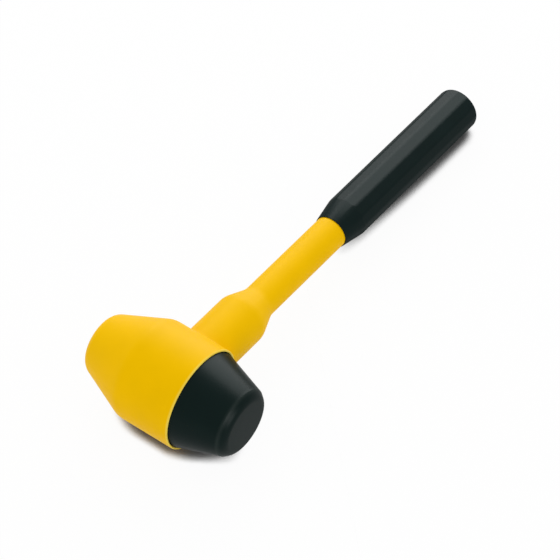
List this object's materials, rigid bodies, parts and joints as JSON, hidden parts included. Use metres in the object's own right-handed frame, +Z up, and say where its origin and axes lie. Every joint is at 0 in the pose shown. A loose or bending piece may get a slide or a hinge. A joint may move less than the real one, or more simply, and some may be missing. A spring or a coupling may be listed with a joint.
{
  "type": "plastic mallet",
  "caption": "Dead-blow mallet with a yellow moulded head and handle, a black screw-on striking face at one end of the head, loose shot inside and a round black grip.",
  "frame": {"origin": "on the table under the middle of the mallet's box, with the mallet lying on its side as in the picture", "axes": "+X along the handle towards the grip, -Y the way the black face looks, +Z up"},
  "size_m": [0.3714, 0.1204, 0.0743],
  "materials": {
    "yellow_polyurethane": "satin moulded yellow",
    "face_rubber": "satin moulded black",
    "grip_rubber": "satin moulded black",
    "fitting_steel": "turned",
    "zinc_steel": "bright zinc plated",
    "canister_steel": "drawn and welded, unpainted",
    "rod_steel": "hot rolled",
    "shot_steel": "cast shot, tumbled"
  },
  "bodies": {
    "mallet": {"jacket": "yellow_polyurethane", "grip": "grip_rubber", "face_stud": "zinc_steel", "canister_tube": "canister_steel", "canister_front_plug": "canister_steel", "canister_rear_plug": "canister_steel", "neck_socket": "canister_steel", "handle_rod": "rod_steel", "socket_pin_inner": "zinc_steel", "socket_pin_outer": "zinc_steel"},
    "face_washer": {"face_lock_washer": "zinc_steel"},
    "face": {"strike_face": "face_rubber", "face_insert": "fitting_steel"},
    "shot_charge": {"shot_01": "shot_steel", "shot_02": "shot_steel", "shot_03": "shot_steel", "shot_04": "shot_steel", "shot_05": "shot_steel", "shot_06": "shot_steel", "shot_07": "shot_steel", "shot_08": "shot_steel", "shot_09": "shot_steel", "shot_10": "shot_steel", "shot_11": "shot_steel", "shot_12": "shot_steel", "shot_13": "shot_steel", "shot_14": "shot_steel", "shot_15": "shot_steel", "shot_16": "shot_steel", "shot_17": "shot_steel", "shot_18": "shot_steel", "shot_19": "shot_steel", "shot_20": "shot_steel", "shot_21": "shot_steel", "shot_22": "shot_steel", "shot_23": "shot_steel", "shot_24": "shot_steel", "shot_25": "shot_steel", "shot_26": "shot_steel", "shot_27": "shot_steel", "shot_28": "shot_steel", "shot_29": "shot_steel", "shot_30": "shot_steel", "shot_31": "shot_steel", "shot_32": "shot_steel", "shot_33": "shot_steel", "shot_34": "shot_steel", "shot_35": "shot_steel", "shot_36": "shot_steel"}
  },
  "joints": [
    {"name": "shot_slide", "type": "slide", "parent": "mallet", "child": "shot_charge", "axis": [0, -1, 0], "range_m": [-0.0086, 0.0086]},
    {"name": "face_advance", "type": "slide", "parent": "mallet", "child": "face_washer", "axis": [0, -1, 0], "range_m": [0, 0.0158]},
    {"name": "face_turn", "type": "hinge", "parent": "face_washer", "child": "face", "pos_m": [-0.14854, -0.00125, 0.03715], "axis": [0, -1, 0], "range_deg": [0, 3240]}
  ],
  "couplings": [
    {"joint": "face_advance", "follows": "face_turn", "m_per_rad": 0.00027852}
  ]
}
